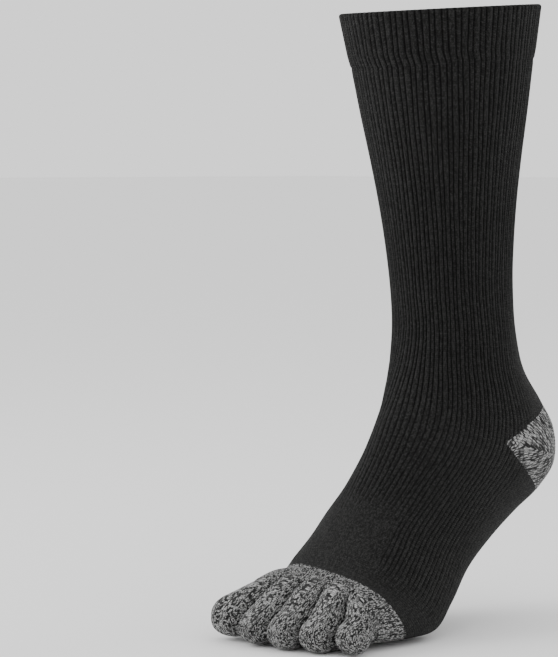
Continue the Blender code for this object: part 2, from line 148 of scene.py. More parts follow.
# Ribs. In the leg a repeat is one wide and one narrow rib, and on the foot the two turn into even fine ribs.
WIDE_STEPS = 7
NARROW_STEPS = 5
LEG_RIB_START = (-0.06, 0.50)  # where the wide and the narrow rib start, as shares of the repeat
LEG_RIB_WIDTH = (0.56, 0.44)
FOOT_RIB_START = (0.0, 0.5)
FOOT_RIB_WIDTH = (0.5, 0.5)
RIB_EVEN_FROM = 0.530
RIB_EVEN_TO = 0.610
RIB_RELIEF = 0.0010
NARROW_HIGH = 0.88
WIDE_ROUND = 0.34
NARROW_ROUND = 0.48
RIB_WANDER = 0.03  # sideways wander of the ribs as a share of a repeat
INNER_RIB_SHARE = 0.25  # depth of the ribs on the inner side as a share of the outer side's
FOOT_RIB_SHARE = 0.70  # depth of the foot's ribs as a share of the leg's

# Seams and overlaps
TUCK = 0.0026  # how far black knit runs on under a grey piece or the welt
TUCK_DEPTH = 0.0006
SEAM_JOG = 0.20  # sideways step of the ribs between welt and leg, as a share of a repeat
EDGE_TOOTH = 0.00055  # stitch points along the border between black and grey
CREASE_DEPTH = 0.0034
CREASE_REACH = 0.0092
CREASE_FALL = 0.0125

# Colours of the yarns. BLACK_DEEP and MARL_DARK are also the painted shade in the rib grooves and between stitches.
BLACK_DEEP = (0.0010, 0.0010, 0.0010, 1.0)
BLACK_LIGHT = (0.0300, 0.0300, 0.0292, 1.0)
MARL_DARK = (0.0120, 0.0120, 0.0120, 1.0)
MARL_LIGHT = (0.3900, 0.3900, 0.3860, 1.0)

# How finely the loft is worked out before the pieces are read from it
TABLE_PLACES = 721
TABLE_TURNS = 720
RING_STEPS = 1440

# Camera: turned from straight on, with its distance and height, and where the rim's centre lies in the picture
PICTURE_WIDTH = 558
PICTURE_HEIGHT = 657
VIEW_TURN = np.radians(42.0)
VIEW_DISTANCE = 1.400
VIEW_LEVEL = -0.083
FOCAL_PIXELS = 2534.0
RIM_PIXEL = (439.0, 9.0)
SENSOR = 36.0

# Studio
WORLD_STRENGTH = 1.3
FLOOR_HALF = 30.0
FLOOR_GAP = 0.0004
KEY_POWER = 19.0
RIM_POWER = 3.0


def column(rows, columns, name):
    """One named column of a table as an array."""
    return np.array([row[columns.index(name)] for row in rows], float)


def smooth_step(value, low, high):
    """0 below low and 1 above high, with the cubic 3x^2 - 2x^3 between them."""
    x = np.clip((value - low) / (high - low), 0, 1)
    return x * x * (3 - 2 * x)


def section_rows():
    """All sections as arrays: front y, front z, back y, back z, half width, widest, both squares and drift."""
    level = SOCK_HEIGHT * column(LEG_ROWS, LEG_COLUMNS, "level")
    fullness = column(LEG_ROWS, LEG_COLUMNS, "fullness")
    half_depth = (ANKLE_DEPTH + (CUFF_DEPTH - ANKLE_DEPTH) * fullness) / 2
    half_width = (ANKLE_WIDTH + (CUFF_WIDTH - ANKLE_WIDTH) * fullness) / 2
    across, down = np.cos(LEG_LEAN), np.sin(LEG_LEAN)
    centre_y, centre_z = level * down, -level * across
    flat = np.zeros_like(level)
    leg = np.stack([
        centre_y - half_depth * across, centre_z - half_depth * down,
        centre_y + half_depth * across, centre_z + half_depth * down,
        half_width, flat + 0.5, flat + 2.0, flat + 2.0, flat,
    ], axis=-1)
    foot = np.stack([column(FOOT_ROWS, FOOT_COLUMNS, name) for name in FOOT_COLUMNS], axis=-1)
    foot[:, [0, 2]] *= FOOT_REACH
    foot[:, [1, 3]] *= -SOCK_HEIGHT
    foot[:, 4] = (HEEL_WIDTH + (BALL_WIDTH - HEEL_WIDTH) * foot[:, 4]) / 2
    foot[:, 8] *= BALL_WIDTH
    return np.vstack([leg, foot])


def smooth_rows(rows, knots, place):
    """The sections at any place, by cubic Hermite pieces whose slopes are the central differences of the rows."""
    slopes = np.gradient(rows, knots, axis=0)
    piece = np.clip(np.searchsorted(knots, place, side="right") - 1, 0, len(knots) - 2)
    length = (knots[piece + 1] - knots[piece])[:, None]
    u = (place[:, None] - knots[piece][:, None]) / length
    start, end = rows[piece], rows[piece + 1]
    rise, fall = length * slopes[piece], length * slopes[piece + 1]
    return (
        (2 * u**3 - 3 * u**2 + 1) * start
        + (u**3 - 2 * u**2 + u) * rise
        + (3 * u**2 - 2 * u**3) * end
        + (u**3 - u**2) * fall
    )


def rounded(value, power):
    """Cosine or sine pushed towards a square: its sign times its size to the power 2 / power."""
    return np.sign(value) * np.abs(value) ** (2 / power)


def ring_points(sections, angle):
    """Outline of each section at the given angles, 0 at the back or sole and half a turn at the front."""
    front_y, front_z, back_y, back_z, half_width, widest, back_square, front_square, drift = sections.T[..., None]
    cosine, sine = np.cos(angle), np.sin(angle)
    power = np.where(cosine > 0, back_square, front_square)
    along, aside = rounded(cosine, power), rounded(sine, power)
    height = np.where(cosine > 0, widest * (1 - along), widest - (1 - widest) * along)
    x = drift * height + half_width * aside
    y = back_y + (front_y - back_y) * height
    z = back_z + (front_z - back_z) * height
    return np.stack([x, y, z], axis=-1)


class Loft:
    """The sock's smooth outer surface, its outward normal and its stretch along the leg, read from one table."""

    def __init__(self):
        rows = section_rows()
        centres = (rows[:, 0:2] + rows[:, 2:4]) / 2
        run = np.concatenate([[0.0], np.cumsum(np.linalg.norm(np.diff(centres, axis=0), axis=1))])
        knots, self.length = run / run[-1], run[-1]
        self.last_section = rows[-1]
        sections = smooth_rows(rows, knots, np.linspace(0, 1, TABLE_PLACES))
        rings = ring_points(sections, np.linspace(0, 2 * np.pi, RING_STEPS + 1))
        steps = np.linalg.norm(np.diff(rings, axis=1), axis=2)
        girth = np.concatenate([np.zeros((TABLE_PLACES, 1)), np.cumsum(steps, axis=1)], axis=1)
        girth /= girth[:, -1:]
        turns = np.linspace(0, 1, TABLE_TURNS + 1)
        self.points = np.stack([
            np.stack([np.interp(turns, girth[i], rings[i, :, k]) for k in range(3)], axis=-1)
            for i in range(TABLE_PLACES)
        ])
        along = np.gradient(self.points, 1 / (TABLE_PLACES - 1), axis=0)
        wrapped = np.concatenate([self.points[:, -3:-1], self.points, self.points[:, 1:3]], axis=1)
        around = (wrapped[:, 4:] - wrapped[:, :-4])
        normals = np.cross(around, along)
        self.normals = normals / np.linalg.norm(normals, axis=2, keepdims=True)
        self.stretch = np.linalg.norm(along, axis=2, keepdims=True)

    def read(self, table, place, turn):
        """The table's value at places and turns of any shape, mixed from its four nearest entries."""
        row = np.clip(place, 0, 1) * (TABLE_PLACES - 1)
        col = np.mod(turn, 1.0) * TABLE_TURNS
        i = np.minimum(row.astype(int), TABLE_PLACES - 2)
        j = np.minimum(col.astype(int), TABLE_TURNS - 1)
        u, v = (row - i)[..., None], (col - j)[..., None]
        near = table[i, j] * (1 - v) + table[i, j + 1] * v
        far = table[i + 1, j] * (1 - v) + table[i + 1, j + 1] * v
        return near * (1 - u) + far * u

    def at(self, place, turn, inset=0.0):
        """Points on the sock, moved inwards by inset."""
        place, turn, inset = np.broadcast_arrays(place, turn, inset)
        return self.read(self.points, place, turn) - self.read(self.normals, place, turn) * inset[..., None]

    def trimmed(self, place, turn, distance):
        """The place that lies this distance further along the surface."""
        place, turn, distance = np.broadcast_arrays(place, turn, distance)
        return place + distance / self.read(self.stretch, place, turn)[..., 0]


def from_back(turn):
    """Share of the girth between a turn and the middle of the back or sole."""
    turn = np.mod(turn, 1.0)
    return np.minimum(turn, 1 - turn)


def heel_bulge(turn):
    """1 at the back and 0 from the heel's side points on: a parabola."""
    return np.clip(1 - (from_back(turn) / HEEL_POINT_TURN) ** 2, 0, 1)


def heel_edge(loft, turn, reach):
    """Place of the heel pocket's edge, with its full reach at the back and none at the side points."""
    return HEEL_POINT_PLACE + reach / loft.length * heel_bulge(turn)


def band_start(turn):
    """Place where the toe band starts, earlier over the inner side by a half wave."""
    slant = np.clip(np.sin(2 * np.pi * (turn - BAND_SLANT_TURN)), 0, 1)
    return BAND_PLACE - BAND_SLANT * slant


def crease_depth(place, x):
    """Depth of the grooves between the toes in the band.

    Each groove has the side of a rounded square next to it, 1 - (1 - d^5)^(1/5) with d from 0 away from the border
    to 1 on it, held back by an exponential, and it grows by a smooth step along the band.
    """
    depth = np.zeros_like(x)
    for row in TOE_ROWS[:-1]:
        border = row[TOE_COLUMNS.index("root_right")] * BALL_WIDTH
        near = np.clip(1 - np.abs(x - border) / CREASE_REACH, 0, 1)
        fall = CREASE_FALL * (1 - (1 - near**5) ** 0.2)
        depth = np.maximum(depth, CREASE_DEPTH * (1 - np.exp(-fall / CREASE_DEPTH)))
    return depth * smooth_step(place, BAND_PLACE - 0.006, 1.0)


def stitch_relief(u, v):
    """Height of the knit at u wales and v courses: two leaning legs in each wale, round across and along."""
    side = np.abs(np.mod(u, 1.0) - 0.5) * 2
    along = np.mod(v + STITCH_SLANT * side, 1.0)
    return np.sqrt(np.clip(1 - (2 * side - 1) ** 2, 0, 1)) * (1 - (2 * along - 1) ** 2)


def rib_strength(place, turn):
    """How strongly the ribs stand out: whole on the leg, fine on the foot, none at the tendon, sole and toe end."""
    back = from_back(turn)
    plain_to = 0.19 * smooth_step(place, 0.24, 0.50)
    side = smooth_step(back, plain_to - 0.05, plain_to + 0.06)
    leg_to_foot = 1 - (1 - FOOT_RIB_SHARE) * smooth_step(place, RIB_EVEN_FROM, RIB_EVEN_TO)
    top = 1 - smooth_step(np.abs(turn - 0.52), 0.10, 0.17)
    instep = 1 - top * smooth_step(place, 0.74, 0.84)
    toe_end = 1 - 0.75 * smooth_step(place, 0.88, 0.95)
    return side * leg_to_foot * instep * toe_end


def rib_columns():
    """For every column round the sock, and one more to close it: its repeat, whether it is on the wide rib, and its
    place across its rib from 0 to 1."""
    wide = np.concatenate([np.ones(WIDE_STEPS), np.zeros(NARROW_STEPS)])
    across = np.concatenate([np.arange(WIDE_STEPS) / WIDE_STEPS, np.arange(NARROW_STEPS) / NARROW_STEPS])
    repeat = np.repeat(np.arange(RIB_REPEATS), len(wide))
    return np.append(repeat, RIB_REPEATS), np.append(np.tile(wide, RIB_REPEATS), 1), np.append(
        np.tile(across, RIB_REPEATS), 0
    )


def rib_turns(place, shift):
    """Turn and wale of every column at a place. Ribs change from the leg's to the foot's widths by a smooth step,
    and wander sideways by two small waves."""
    repeat, wide, across = rib_columns()
    even = smooth_step(place, RIB_EVEN_FROM, RIB_EVEN_TO)

    def mixed(leg, foot):
        pick = np.where(wide > 0, leg[0], leg[1])
        return pick + (np.where(wide > 0, foot[0], foot[1]) - pick) * even

    start = mixed(LEG_RIB_START, FOOT_RIB_START)
    width = mixed(LEG_RIB_WIDTH, FOOT_RIB_WIDTH)
    turn = (repeat + start + width * across + shift) / RIB_REPEATS
    wander = np.sin(2 * np.pi * (6 * turn + 4 * place)) + np.sin(2 * np.pi * (17 * turn - 7 * place))
    wale = 4 * repeat + np.where(wide > 0, (3 - even) * across, (3 - even) + (1 + even) * across)
    return turn + RIB_WANDER * wander / RIB_REPEATS, wale


def rib_crest(wide, across):
    """Height of a rib across its width, a half wave with a flattened top; the narrow rib is a little lower."""
    half_wave = np.sin(np.pi * across)
    return np.where(wide > 0, half_wave**WIDE_ROUND, NARROW_HIGH * half_wave**NARROW_ROUND)


def knit_object(name, points, wales, courses, crest, joined_round, joined_along, sharp_rows=()):
    """A mesh from a grid of rows along the sock and columns round it.

    wales and courses are the stitch coordinates of the corners, with one more column than the points when the grid
    is joined round. They become the map named knit, and crest becomes an attribute of the points.
    """
    rows, columns = points.shape[:2]
    i = np.arange(rows if joined_along else rows - 1)[:, None]
    j = np.arange(columns if joined_round else columns - 1)[None, :]
    below, right = (i + 1) % rows, (j + 1) % columns
    quads = np.stack([i * columns + j, i * columns + right, below * columns + right, below * columns + j], axis=-1)
    maps = np.stack(np.broadcast_arrays(wales, courses), axis=-1)
    corners = np.stack([maps[i, j], maps[i, j + 1], maps[below, j + 1], maps[below, j]], axis=-2)
    return mesh_object(name, points, quads.reshape(-1, 4), corners.reshape(-1, 2), crest, sharp_rows)


def mesh_object(name, points, quads, corners, crest, sharp_rows):
    """A smooth mesh object from points in a grid, quads and one stitch coordinate for each corner of a quad."""
    mesh = bpy.data.meshes.new(name)
    mesh.vertices.add(points.shape[0] * points.shape[1])
    mesh.vertices.foreach_set("co", points.astype(np.float32).ravel())
    mesh.loops.add(quads.size)
    mesh.loops.foreach_set("vertex_index", quads.astype(np.int32).ravel())
    mesh.polygons.add(len(quads))
    mesh.polygons.foreach_set("loop_start", np.arange(0, quads.size, 4, dtype=np.int32))
    mesh.polygons.foreach_set("use_smooth", np.ones(len(quads), bool))
    mesh.update(calc_edges=True)
    layer = mesh.uv_layers.new(name="knit")
    layer.data.foreach_set("uv", corners.astype(np.float32).ravel())
    mesh.attributes.new("crest", "FLOAT", "POINT").data.foreach_set(
        "value", np.broadcast_to(crest, points.shape[:2]).astype(np.float32).ravel()
    )
    if len(sharp_rows):
        ends = np.zeros(len(mesh.edges) * 2, np.int32)
        mesh.edges.foreach_get("vertices", ends)
        row = ends.reshape(-1, 2) // points.shape[1]
        sharp = (row[:, 0] == row[:, 1]) & np.isin(row[:, 0], np.mod(sharp_rows, points.shape[0]))
        mesh.edges.foreach_set("use_edge_sharp", sharp)
    mesh.validate()
    made = bpy.data.objects.new(name, mesh)
    bpy.context.scene.collection.objects.link(made)
    return made


def rib_tube(name, loft, places, insets, strength_of, shift=0.0, sharp_rows=()):
    """A ribbed tube from rings: each has a place, given for every column, and an inset of its rib crests."""
    _, wide, across = rib_columns()
    turn, wale = rib_turns(places, shift)
    strength = strength_of(places, turn)
    crest = 1 - strength * (1 - rib_crest(wide, across))
    points = loft.at(places, turn, insets + RIB_RELIEF * (1 - crest))
    courses = places * loft.length / COURSE
    return knit_object(name, points[:, :-1], wale, courses, crest[:, :-1], True, True, sharp_rows)


def welt_profile():
    """Rings of the welt as share of its height and inset: up the inner side, over a half-round rim, down outside."""
    rim = WELT_WALL / 2
    bend = np.linspace(0, np.pi, 15)
    up = np.linspace(1.0, 2 * rim / CUFF_HEIGHT, 46)
    down = np.linspace(2 * rim / CUFF_HEIGHT, 1.0, 9)
    share = np.concatenate([[1.0, 1.0], up, rim / CUFF_HEIGHT * (1 - np.sin(bend)), down])
    inset = np.concatenate([[WELT_WALL * 0.8, rim * 0.55], 0 * up, rim * (1 - np.cos(bend)), 0 * down + WELT_WALL])
    return share[::-1], inset[::-1]


def make_cuff(loft):
    """The double welt: ribs over the rim, standing a little proud of the leg and stepping aside above the seam."""
    share, inset = welt_profile()
    seam = CUFF_HEIGHT / loft.length
    share, inset = share[:, None], inset[:, None]
    round_edge = 0.0004 * smooth_step(share, 0.955, 1.0) * (inset < WELT_WALL / 2)
    proud = WELT_PROUD * (1 - 0.6 * smooth_step(share, 0.75, 1.0))
    columns = np.zeros(len(rib_columns()[0]))
    places = seam * share + columns
    jog = SEAM_JOG * (1 - smooth_step(share, 0.74, 1.02))

    def strength(place, turn):
        rim = 1 - 0.45 * smooth_step(inset, 0.0, WELT_WALL / 2)
        return np.where(inset < WELT_WALL * 0.95, rim, INNER_RIB_SHARE) + 0 * turn

    return rib_tube("welt_knit", loft, places, inset + round_edge - proud, strength, jog)


def make_leg(loft):
    """The ribbed leg, from under the welt to the ankle, where it runs on under the heel's upper edge."""
    turn, _ = rib_turns(np.array([[0.5]]), 0.0)
    seam = CUFF_HEIGHT / loft.length
    tucked = smooth_step(heel_bulge(turn), 0.0, 0.06)
    start = loft.trimmed(seam + 0 * turn, turn, -TUCK)
    end = loft.trimmed(heel_edge(loft, turn, -HEEL_TOP_REACH), turn, 0.0)
    under = loft.trimmed(end, turn, TUCK * tucked)
    share = np.linspace(0, 1, 146)[:, None]
    outer = start + (end - start) * share
    inner = start + (end - start) * np.linspace(1, 0, 10)[:, None]
    below_seam = (outer - seam) * loft.length
    outer_inset = 0.5 * TUCK_DEPTH * (1 - smooth_step(below_seam, -0.0006, 0.0030)) + 0 * outer
    places = np.concatenate([outer, under, under, inner])
    insets = np.concatenate([
        outer_inset, TUCK_DEPTH * tucked, TUCK_DEPTH * tucked + (WALL - TUCK_DEPTH * tucked), WALL + 0 * inner,
    ])

    def strength(place, turn):
        return rib_strength(place, turn) * np.where(insets < WALL * 0.98, 1.0, INNER_RIB_SHARE)

    sharp = (len(outer), len(outer) + 1)
    return rib_tube("leg_knit", loft, places, insets, strength, 0.0, sharp)


def make_foot(loft):
    """Instep, sides and sole, from the ankle to the toe band, running on under both grey pieces."""
    turn, _ = rib_turns(np.array([[0.7]]), 0.0)
    tucked = smooth_step(heel_bulge(turn), 0.0, 0.06)
    start = heel_edge(loft, turn, HEEL_SOLE_REACH)
    above = loft.trimmed(start, turn, -TUCK * tucked)
    end = band_start(turn)
    under = loft.trimmed(end, turn, TUCK)
    share = np.linspace(0, 1, 112)[:, None]
    outer = start + (end - start) * share
    inner = start + (end - start) * np.linspace(1, 0, 9)[:, None]
    places = np.concatenate([above, outer, under, under, inner, above])
    edge = TUCK_DEPTH * tucked
    insets = np.concatenate([
        edge, 0 * outer, TUCK_DEPTH + 0 * under, WALL + 0 * under, WALL + 0 * inner, WALL + 0 * edge,
    ])

    def strength(place, turn):
        return rib_strength(place, turn) * np.where(insets < WALL * 0.98, 1.0, INNER_RIB_SHARE)

    return rib_tube("foot_knit", loft, places, insets, strength, 0.0, (0,))


def marl_strip(loft, name, places, wale, turn, teeth, insets_of, joined_round):
    """A grey piece with an outer side of knit stitches and a plain inner side, closed along its edges.

    places is a grid of rows and columns, turn and wale belong to its columns or corners, and teeth is how far each
    row moves along with the points of the stitches.
    """
    point = np.abs(np.mod(wale, 1.0) - 0.5) * 2 - 0.5
    places = loft.trimmed(places, turn, teeth * point)
    courses = places * loft.length / MARL_COURSE
    relief = stitch_relief(wale, courses)
    outer_inset, wall = insets_of(places, turn)
    inner_rows = np.linspace(len(places) - 1, 0, 8).round().astype(int)
    outer = loft.at(places, turn, outer_inset - STITCH_HIGH * (relief - 0.5))
    inner = loft.at(places[inner_rows], turn[inner_rows], outer_inset[inner_rows] + wall)
    points = np.concatenate([outer, inner])
    crest = np.concatenate([relief, relief[inner_rows]])
    wale = np.broadcast_to(wale, places.shape)
    wales = np.concatenate([wale, wale[inner_rows]])
    courses = np.concatenate([courses, courses[inner_rows]])
    sharp = (0, len(outer) - 1, len(outer), -1)
    if joined_round:
        points, crest = points[:, :-1], crest[:, :-1]
    return knit_object(name, points, wales, courses, crest, joined_round, True, sharp)


def make_heel(loft):
    """The heel pocket. Its wales stand square to both edges and meet in a mitre on the line through its points.

    With r the turn from the back as a share of the point's turn, and s running from 0 on an edge to 1 on the mitre,
    a wale keeps r (1 + k s (1 - r^2)^2) constant, which is solved for r by repeated substitution.
    """
    lean = HEEL_LEAN
    half_wales = MARL_WALES * HEEL_POINT_TURN
    line = np.linspace(-HEEL_BLUNT, HEEL_BLUNT, 433)[None, :]
    height = np.linspace(0, 2, 123)[:, None]
    s = 1 - np.abs(1 - height)
    r = line + 0 * s
    for _ in range(40):
        r = 0.5 * r + 0.5 * line / (1 + lean * s * (1 - r**2) ** 2)
    turn = r * HEEL_POINT_TURN
    reach = np.where(height < 1, -HEEL_TOP_REACH, HEEL_SOLE_REACH)
    places = HEEL_POINT_PLACE + reach / loft.length * (1 - r**2) * (1 - s)
    wale = half_wales * line + 0 * s
    fall = smooth_step(s, 0.0, 0.10)
    teeth = EDGE_TOOTH * (1 - fall) * np.sign(height - 1)

    def insets(place, turn):
        return 0.00015 * (1 - fall) + 0 * turn, WALL - 0.0002

    return marl_strip(loft, "heel_knit", places, wale, turn, teeth, insets, False)


def make_toe_band(loft):
    """The grey front of the foot, with a groove growing between each two toes."""
    steps = MARL_WALES * 4
    turn = np.arange(steps + 1)[None, :] / steps
    rows = np.linspace(0, 1, 60)[:, None]
    start = band_start(turn)
    places = start + (1.0 - start) * rows
    teeth = EDGE_TOOTH * (1 - smooth_step(rows, 0.0, 0.15)) + 0 * turn

    def insets(place, turn):
        x = loft.at(place, turn)[..., 0]
        return crease_depth(place, x), WALL - 0.0002

    return marl_strip(loft, "toe_band_knit", places, MARL_WALES * turn, turn + 0 * rows, teeth, insets, True)


def band_height(loft, x):
    """Heights over and under the middle of the band's last ring at x, as shares from its sole point to its top."""
    _, _, _, _, half_width, widest, back_square, front_square, drift = loft.last_section
    aside = np.clip(np.abs(x - drift / 2) / half_width, 0, 0.995)
    lower = widest * (1 - (1 - aside**back_square) ** (1 / back_square))
    upper = widest + (1 - widest) * (1 - aside**front_square) ** (1 / front_square)
    return lower, upper


def toe_rings(loft, row, angle, along, dome):
    """A toe's rings. The root fills its cell of the band's end as a rounded square, and the tip is a rounded oval on
    the floor. The rings between go evenly forward while the shape changes by a smooth step, and the top falls by a
    mix of share and share squared. The dome is a quarter wave, and its top keeps falling at first."""
    _, left, right, tip_across, tip_reach, width, height, lift = row
    front_y, front_z, back_y, back_z = loft.last_section[:4]
    big = row[0] == "big_toe"
    half_width = width * (BIG_TOE_WIDTH if big else SMALL_TOE_WIDTH) / 2
    half_height = height * (BIG_TOE_HEIGHT if big else TOE_HEIGHT) / 2
    x = (left + right) / 2 * BALL_WIDTH
    x = x + (right - left) / 2 * BALL_WIDTH * rounded(np.sin(angle), TOE_ROOT_SQUARE)
    lower, upper = band_height(loft, x)
    level = lower + (upper - lower) * (1 - rounded(np.cos(angle), TOE_ROOT_SQUARE)) / 2
    root = np.stack([x, back_y + (front_y - back_y) * level, back_z + (front_z - back_z) * level], axis=-1)
    reach = half_height * TOE_DOME
    tip_y = -tip_reach * FOOT_REACH + reach
    middle = np.array([tip_across * BALL_WIDTH, tip_y, -SOCK_HEIGHT + lift * TOE_HEIGHT + half_height])
    oval = np.stack([
        middle[0] + half_width * rounded(np.sin(angle), TOE_TIP_SQUARE),
        np.full_like(angle, tip_y),
        middle[2] - half_height * rounded(np.cos(angle), TOE_TIP_SQUARE),
    ], axis=-1)
    share = along[:, None, None]
    shape = share**2 * (3 - 2 * share)
    tube = root * (1 - shape) + oval * shape
    tube[..., 1] = (root * (1 - share) + oval * share)[..., 1]
    late = (1 - TOE_HANG) * share + TOE_HANG * share**2
    over = ((1 - np.cos(angle)) / 2)[None, :, None]
    fall = shape * (1 - over) + late * over
    tube[..., 2] = (root * (1 - fall) + oval * fall)[..., 2]
    belly = np.sin(np.pi * np.clip(share, 0, 1))
    centre = tube.mean(axis=1, keepdims=True)
    tube[..., 0] += (tube - centre)[..., 0] * (TOE_PLUMP * belly)[..., 0]
    bend = dome[:, None, None]
    cap = middle + (oval - middle) * np.cos(bend) + np.array([0, -reach, 0]) * np.sin(bend)
    slope = (1 + TOE_HANG) * (oval - root)[:, 2] / (oval - root)[:, 1]
    slope = np.clip(slope, 0, TOE_STEEPEST)
    cap[..., 2] -= slope * over[..., 0] * reach * (np.sin(bend) * np.cos(bend))[..., 0]
    return np.concatenate([tube, cap]), reach


def grid_normals(points):
    """Outward normals of a grid that is joined round, from the differences between its neighbours."""
    around = np.roll(points, -1, axis=1) - np.roll(points, 1, axis=1)
    along = np.gradient(points, axis=0)
    normal = np.cross(around, along)
    return normal / (np.linalg.norm(normal, axis=2, keepdims=True) + 1e-12)


def make_toe(loft, row):
    """One toe tube. Its wales run along its top, over the tip and back along its underside.

    On the dome the course follows the angle over the tip from top to underside, and everywhere the wale is the arc
    sine of the sideways share, so that stitches keep their size round the tip.
    """
    count = 208
    angle = 2 * np.pi * np.arange(count) / count
    along = np.concatenate([[-0.12], np.linspace(0, 1, 62)])
    dome = np.radians(np.concatenate([np.linspace(2.5, 87.5, 36), [89.0, 89.9]]))
    outer, reach = toe_rings(loft, row, angle, along, dome)
    bend = np.concatenate([0 * along, dome])[:, None]
    run = np.linalg.norm(np.diff(outer[: len(along)], axis=0), axis=2).mean(axis=1)
    run = np.concatenate([[0], np.cumsum(run), np.full(len(dome), run.sum())])[:, None]
    aside = np.sin(angle) * np.cos(bend)
    wale = TOE_WALES / (2 * np.pi) * np.arcsin(np.clip(aside, -1, 1))
    over = np.arctan2(np.sin(bend) + 1e-9, -np.cos(angle) * np.cos(bend))
    top = (run + reach * over) / MARL_COURSE
    under = (2 * run[-1] - run + reach * over) / MARL_COURSE + 40
    on_top = np.cos(angle) < 1e-9
    relief = stitch_relief(wale, np.where(on_top, top, under))
    normals = grid_normals(outer)
    skin = outer + normals * STITCH_HIGH * (relief - 0.3)[..., None]
    inner_rows = np.linspace(0, len(outer) - 1, 12).round().astype(int)
    inside = (outer - normals * (WALL - 0.0002))[inner_rows][::-1]
    points = np.concatenate([skin, inside])
    rows = len(points)
    pick = np.concatenate([np.arange(len(outer)), inner_rows[::-1]])
    i, j = np.arange(rows)[:, None], np.arange(count)[None, :]
    below, right = (i + 1) % rows, (j + 1) % count
    quads = np.stack([i * count + j, i * count + right, below * count + right, below * count + j], axis=-1)
    upper = np.broadcast_to((j >= count // 4) & (j < 3 * count // 4), (rows, count))

    def at_corners(grid):
        return grid[pick][[i, i, below, below], [j, right, right, j]].transpose(1, 2, 0)

    course = np.where(upper[..., None], at_corners(top), at_corners(under))
    wales = at_corners(wale)
    seed = 37.0 * TOE_ROWS.index(row)
    corners = np.stack([wales + seed + np.where(upper, 0, 60)[..., None], course + seed], axis=-1)
    crest = np.concatenate([relief, relief[inner_rows][::-1]])
    return mesh_object(
        row[0] + "_knit", points, quads.reshape(-1, 4), corners.reshape(-1, 2), crest, (len(outer) - 1, len(outer))
    )


class Tree:
    """Short names for adding and joining nodes in a shader or a group."""

    def __init__(self, tree):
        self.tree = tree

    def node(self, kind, **settings):
        made = self.tree.nodes.new(kind)
        for name, value in settings.items():
            setattr(made, name, value)
        return made

    def put(self, socket, value):
        if isinstance(value, bpy.types.NodeSocket):
            self.tree.links.new(value, socket)
        else:
            socket.default_value = value

    def math(self, operation, *values, clamp=False):
        made = self.node("ShaderNodeMath", operation=operation, use_clamp=clamp)
        for socket, value in zip(made.inputs, values):
            self.put(socket, value)
        return made.outputs[0]

    def mix(self, share, first, second):
        """Colour mix: first at share 0, second at share 1."""
        made = self.node("ShaderNodeMix", data_type="RGBA")
        for place, value in ((0, share), (6, first), (7, second)):
            self.put(made.inputs[place], value)
        return made.outputs[2]

    def ramp(self, value, low, high, start=0.0, end=1.0):
        """Value mapped from low..high to start..end by a smooth step."""
        made = self.node("ShaderNodeMapRange", interpolation_type="SMOOTHSTEP")
        for place, given in enumerate((value, low, high, start, end)):
            self.put(made.inputs[place], given)
        return made.outputs[0]

    def noise(self, vector, scale, detail=2.0):
        made = self.node("ShaderNodeTexNoise")
        self.put(made.inputs["Vector"], vector)
        made.inputs["Scale"].default_value = scale
        made.inputs["Detail"].default_value = detail
        return made.outputs["Fac"]


def new_group(name, outputs):
    """A shader node group with the given outputs, as (name, type) pairs, and its tree."""
    group = bpy.data.node_groups.new(name, "ShaderNodeTree")
    for label, kind in outputs:
        group.interface.new_socket(label, in_out="OUTPUT", socket_type=kind)
    tree = Tree(group)
    return group, tree, tree.node("NodeGroupOutput")


def stitch_group():
    """Stitch coordinates from the knit map: relief of the stitch, a random value for each leg, a value that runs
    along the yarn over a few courses, and loose fibres."""
    group, t, out = new_group("stitches", (
        ("Relief", "NodeSocketFloat"), ("Leg", "NodeSocketFloat"), ("Run", "NodeSocketFloat"),
        ("Bar", "NodeSocketFloat"), ("Fibre", "NodeSocketFloat"),
    ))
    place = t.node("ShaderNodeSeparateXYZ")
    knit = t.node("ShaderNodeUVMap", uv_map="knit")
    t.put(place.inputs[0], knit.outputs[0])
    u, v = place.outputs[0], place.outputs[1]
    side = t.math("MULTIPLY", t.math("ABSOLUTE", t.math("SUBTRACT", t.math("FRACT", u), 0.5)), 2.0)
    lean = t.math("MULTIPLY_ADD", side, STITCH_SLANT, v)
    across = t.math("SUBTRACT", 1.0, t.math("POWER", t.math("MULTIPLY_ADD", side, 2.0, -1.0), 2.0), clamp=True)
    phase = t.math("MULTIPLY_ADD", t.math("FRACT", lean), 2.0, -1.0)
    along = t.math("SUBTRACT", 1.0, t.math("POWER", t.math("ABSOLUTE", phase), 2.0), clamp=True)
    t.put(out.inputs["Relief"], t.math("MULTIPLY", t.math("SQRT", across), along))
    leg = t.node("ShaderNodeCombineXYZ")
    t.put(leg.inputs[0], t.math("FLOOR", t.math("MULTIPLY", u, 2.0)))
    t.put(leg.inputs[1], t.math("FLOOR", lean))
    white = t.node("ShaderNodeTexWhiteNoise", noise_dimensions="3D")
    t.put(white.inputs["Vector"], leg.outputs[0])
    t.put(out.inputs["Leg"], white.outputs["Value"])
    bar = t.math("ABSOLUTE", t.math("MULTIPLY_ADD", t.math("FRACT", v), 2.0, -1.0))
    t.put(out.inputs["Bar"], t.ramp(bar, 0.35, 0.80))
    run = t.node("ShaderNodeCombineXYZ")
    t.put(run.inputs[0], t.math("MULTIPLY", u, 2.1))
    t.put(run.inputs[1], t.math("MULTIPLY", lean, 0.62))
    t.put(out.inputs["Run"], t.noise(run.outputs[0], 1.0, 1.0))
    where = t.node("ShaderNodeTexCoord")
    t.put(out.inputs["Fibre"], t.noise(where.outputs["Object"], 2600.0, 3.0))
    return group


def knit_material(name, build):
    """A cloth material: Principled shader with sheen on its own sockets and colour and bump from the groups."""
    material = bpy.data.materials.new(name)
    material.use_nodes = True
    t = Tree(material.node_tree)
    shader = material.node_tree.nodes["Principled BSDF"]
    build(t, shader)
    return material


